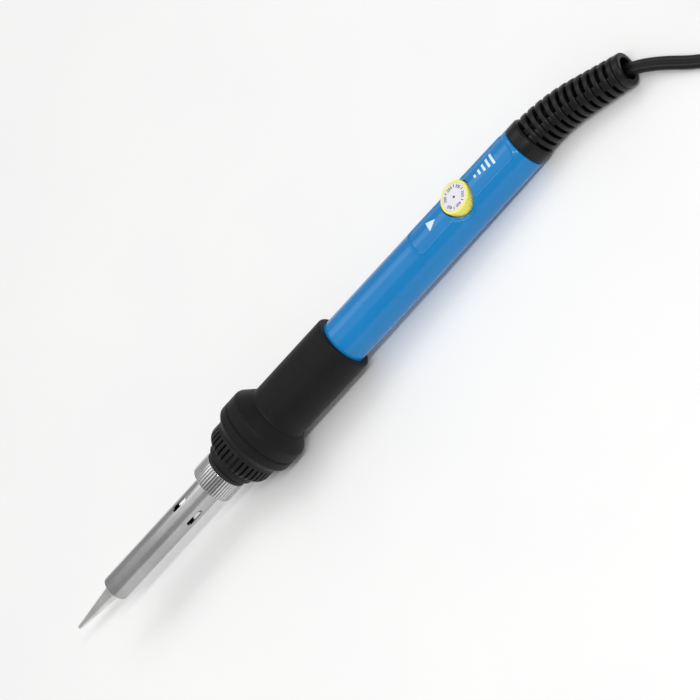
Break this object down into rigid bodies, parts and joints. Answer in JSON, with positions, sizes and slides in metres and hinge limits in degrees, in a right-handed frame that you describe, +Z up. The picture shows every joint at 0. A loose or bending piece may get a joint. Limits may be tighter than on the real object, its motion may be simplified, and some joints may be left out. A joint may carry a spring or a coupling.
{
  "type": "soldering iron",
  "caption": "Mains soldering iron with a conical tip in a steel sleeve, a knurled nut, a rubber grip with finger guard, a blue handle with a heat dial, and a ribbed strain relief.",
  "frame": {"origin": "middle of the iron's length and width, on the ground it lies on; the free lead, its coil and plug are left out of that measure", "axes": "+X from the tip towards the back of the handle, +Z up out of the dial, +Y to the left when looking from tip to handle"},
  "size_m": [0.3968, 0.0606, 0.03],
  "materials": {
    "tip_plating": "satin plated, lightly worn",
    "sleeve_steel": "turned and brushed",
    "nut_nickel": "knurled, bright nickel",
    "fibre_black": "matt fibre",
    "heater_ceramic": "fired alumina",
    "nipple_steel": "zinc plated",
    "collar_bakelite": "moulded phenolic, matt",
    "screw_steel": "zinc plated",
    "grip_rubber": "soft matt with moulding texture",
    "handle_blue": "semi-gloss moulded",
    "dial_yellow": "translucent warm yellow",
    "dial_face": "satin printed disc",
    "shaft_nylon": "natural nylon",
    "pot_blue": "moulded",
    "pin_tin": "tinned",
    "board_green": "solder resist",
    "part_black": "moulded epoxy",
    "film_red": "dipped",
    "diac_blue": "glass and paint",
    "resistor_tan": "lacquered",
    "wire_glass": "glass braid sleeve",
    "wire_brown": "insulated",
    "clip_nylon": "natural nylon",
    "relief_rubber": "moulded, matt",
    "cord_rubber": "extruded, satin",
    "tie_plastic": "matt strap",
    "plug_plastic": "moulded, fine grained",
    "blade_brass": "nickel washed brass"
  },
  "bodies": {
    "handle": {"heater_rod": "heater_ceramic", "heater_socket": "heater_ceramic", "threaded_nipple": "nipple_steel", "front_collar": "collar_bakelite", "collar_screws": "screw_steel", "rubber_grip": "grip_rubber", "handle_shell": "handle_blue", "pot_body": "pot_blue", "pot_pins": "pin_tin", "circuit_board": "board_green", "triac": "part_black", "film_capacitor": "film_red", "diac": "diac_blue", "resistors": "resistor_tan", "rectifier_diode": "part_black", "heater_leads": "wire_glass", "mains_leads": "wire_brown", "cord_clip": "clip_nylon", "clip_screw": "screw_steel", "strain_relief": "relief_rubber", "cord_lead": "cord_rubber", "cord_coil": "cord_rubber", "cord_tail": "cord_rubber", "coil_tie": "tie_plastic", "plug_relief": "plug_plastic", "plug_body": "plug_plastic", "plug_blades": "blade_brass"},
    "seat_ring": {"lock_ring": "fibre_black"},
    "barrel": {"tip_sleeve": "sleeve_steel", "tip": "tip_plating"},
    "nut": {"clamp_nut": "nut_nickel"},
    "dial": {"dial_knob": "dial_yellow", "dial_plate": "dial_face", "pot_shaft": "shaft_nylon"}
  },
  "joints": [
    {"name": "ring_slide", "type": "slide", "parent": "handle", "child": "seat_ring", "axis": [-0.9987, 0, 0.0514], "range_m": [0, 0.005]},
    {"name": "barrel_pull", "type": "slide", "parent": "seat_ring", "child": "barrel", "axis": [-0.9987, 0, 0.0514], "range_m": [0, 0.055]},
    {"name": "nut_turn", "type": "hinge", "parent": "barrel", "child": "nut", "pos_m": [-0.0613, 0, 0.01621], "axis": [-0.9987, 0, 0.0514], "range_deg": [0, 1800]},
    {"name": "dial_turn", "type": "hinge", "parent": "handle", "child": "dial", "pos_m": [0.07033, 0, 0.01544], "axis": [0.0514, 0, 0.9987], "range_deg": [-135, 135]}
  ],
  "couplings": [
    {"joint": "ring_slide", "follows": "nut_turn", "m_per_rad": 0.00015915}
  ]
}
